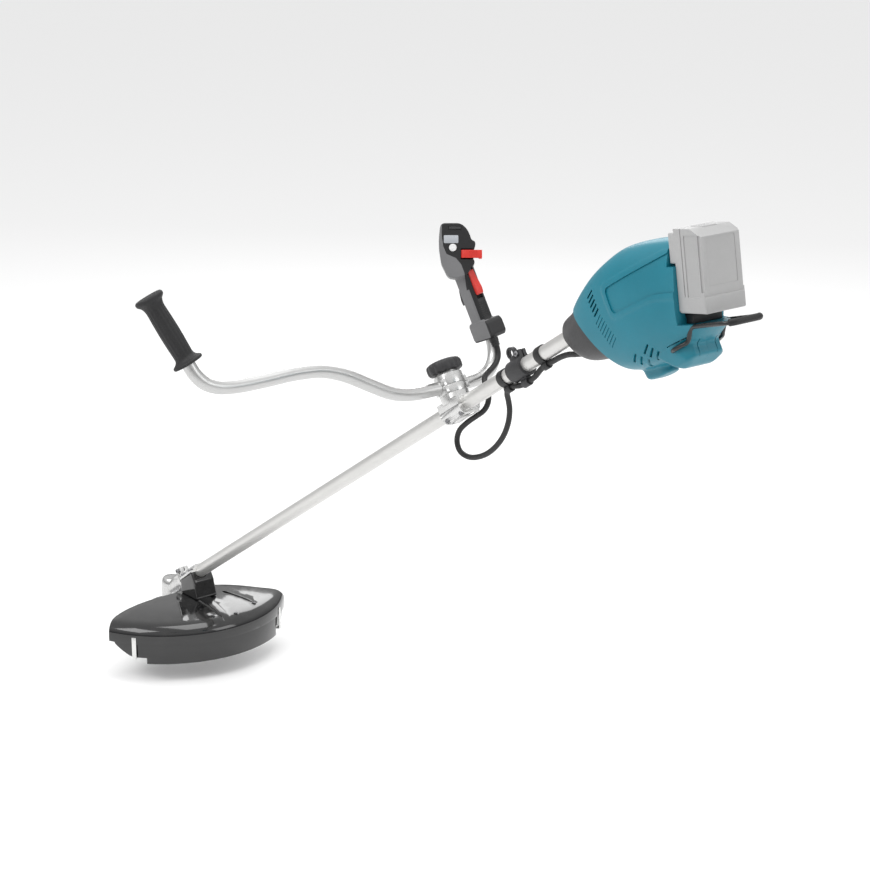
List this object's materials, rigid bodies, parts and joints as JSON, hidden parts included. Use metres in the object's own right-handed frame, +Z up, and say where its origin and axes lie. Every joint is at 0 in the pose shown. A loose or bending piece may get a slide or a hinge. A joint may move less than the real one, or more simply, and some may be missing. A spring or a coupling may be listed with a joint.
{
  "type": "brush cutter",
  "caption": "Cordless brush cutter: sloping tube, bike handlebar with control grip, rear motor with battery, geared nylon head under a fan guard.",
  "frame": {"origin": "centre of the harness eye, where the machine hangs from its harness", "axes": "+X horizontal towards the motor end, +Y to the operator's right, +Z up; the tube slopes 33 degrees down to the head along -X"},
  "size_m": [1.6151, 0.7174, 1.1026],
  "materials": {
    "satin_tube": "satin drawn tube",
    "bar_alu": "brushed aluminium",
    "cast_alu": "polished casting",
    "steel": "machined steel",
    "spring_steel": "bright spring steel",
    "fastener": "dark zinc",
    "guard_black": "gloss black moulding",
    "skirt_black": "gloss black moulding",
    "black_plastic": "matt black moulding",
    "grey_plastic": "matt dark grey moulding",
    "grip_rubber": "moulded rubber",
    "grip_grey": "soft grey overmould",
    "teal": "satin teal moulding",
    "red": "red moulding",
    "white": "white moulding",
    "display": "display window",
    "cable_black": "corrugated sleeve",
    "rod_black": "black painted wire",
    "battery_grey": "pale grey moulding",
    "cell": "wrapped cell",
    "copper": "wound core",
    "board": "circuit board",
    "bearing": "bearing steel",
    "line": "nylon line",
    "spool": "nylon moulding"
  },
  "bodies": {
    "root": {"main_tube": "satin_tube", "shaft_bushes": "black_plastic", "gear_case": "cast_alu", "pinion_bearings": "bearing", "spindle_bearings": "bearing", "gear_case_screws": "fastener", "guard_body": "guard_black", "guard_skirt": "skirt_black", "guard_clips": "spring_steel", "guard_bracket": "black_plastic", "guard_clamp_cap": "cast_alu", "guard_screws": "fastener", "line_blade": "spring_steel", "clamp_base": "cast_alu", "clamp_cap": "cast_alu", "clamp_screws": "fastener", "cable_lower": "cable_black", "cable_holders": "black_plastic", "hanger_band": "grey_plastic", "hanger_screw": "fastener", "front_cone": "grey_plastic", "housing_left": "teal", "housing_right": "teal", "stator": "copper", "motor_brackets": "cast_alu", "controller_board": "board", "battery_seat": "black_plastic", "bumper_rod": "rod_black", "bumper_sleeve": "cable_black"},
    "drive_line": {"drive_shaft": "steel", "pinion": "steel", "rotor": "steel", "fan": "black_plastic"},
    "cutter": {"bevel_gear": "steel", "cutter_spindle": "steel", "receive_washer": "steel", "head_housing": "black_plastic", "head_cover": "black_plastic", "head_spool": "spool", "cutting_line": "line"},
    "tap": {"tap_knob": "black_plastic"},
    "bar": {"bar_clamp_lower": "cast_alu", "bar_clamp_upper": "cast_alu", "handlebar": "bar_alu", "left_grip": "grip_rubber", "grip_shell_inner": "grip_grey", "grip_shell_outer": "black_plastic", "display_window": "display", "grip_gland": "cable_black", "grip_switch": "black_plastic", "cable_upper": "cable_black"},
    "knob": {"clamp_knob": "grey_plastic"},
    "throttle": {"throttle_trigger": "black_plastic"},
    "lock_off": {"lock_off_lever": "red"},
    "thumb": {"thumb_lever": "red"},
    "power": {"power_button": "white"},
    "mode": {"mode_button": "grey_plastic"},
    "battery": {"battery_case": "battery_grey", "battery_cells": "cell"},
    "release": {"battery_release": "battery_grey"}
  },
  "joints": [
    {"name": "drive_spin", "type": "hinge", "parent": "root", "child": "drive_line", "pos_m": [-0.55282, 0, -0.39359], "axis": [0.8387, 0, 0.5446], "continuous": true},
    {"name": "cutter_spin", "type": "hinge", "parent": "root", "child": "cutter", "pos_m": [-1.03674, 0, -0.73784], "axis": [0, 0, -1], "continuous": true},
    {"name": "tap_press", "type": "slide", "parent": "cutter", "child": "tap", "axis": [0, 0, 1], "range_m": [0, 0.004], "stiffness_N_per_m": 2500, "springref_m": -0.002},
    {"name": "bar_swivel", "type": "hinge", "parent": "root", "child": "bar", "pos_m": [-0.14656, 0, -0.10114], "axis": [-0.5446, 0, 0.8387], "range_deg": [-90, 0]},
    {"name": "knob_turn", "type": "hinge", "parent": "bar", "child": "knob", "pos_m": [-0.17161, 0, -0.06256], "axis": [-0.5446, 0, 0.8387], "continuous": true},
    {"name": "throttle_pull", "type": "hinge", "parent": "bar", "child": "throttle", "pos_m": [-0.24151, 0.09213, 0.06831], "axis": [0.0573, -0.989, -0.1363], "range_deg": [0, 14], "stiffness_Nm_per_rad": 0.4, "springref_deg": -17.19},
    {"name": "lock_off_press", "type": "hinge", "parent": "bar", "child": "lock_off", "pos_m": [-0.21977, 0.09198, 0.07852], "axis": [-0.0573, 0.989, 0.1363], "range_deg": [0, 8], "stiffness_Nm_per_rad": 0.4, "springref_deg": -17.19},
    {"name": "thumb_rock", "type": "hinge", "parent": "bar", "child": "thumb", "pos_m": [-0.22032, 0.08178, 0.11114], "axis": [-0.2306, 0.1839, 0.9555], "range_deg": [-5, 5]},
    {"name": "power_press", "type": "slide", "parent": "bar", "child": "power", "axis": [-0.7452, 0.5981, -0.2949], "range_m": [0, 0.0015], "stiffness_N_per_m": 400, "springref_m": -0.001},
    {"name": "mode_press", "type": "slide", "parent": "bar", "child": "mode", "axis": [-0.7452, 0.5981, -0.2949], "range_m": [0, 0.0015], "stiffness_N_per_m": 400, "springref_m": -0.001},
    {"name": "battery_slide", "type": "slide", "parent": "root", "child": "battery", "axis": [-0.1633, 0, 0.9866], "range_m": [0, 0.125]},
    {"name": "release_press", "type": "slide", "parent": "battery", "child": "release", "axis": [0.1633, 0, -0.9866], "range_m": [0, 0.003], "stiffness_N_per_m": 600, "springref_m": -0.002}
  ],
  "couplings": [
    {"joint": "cutter_spin", "follows": "drive_spin", "ratio": -0.73684}
  ]
}
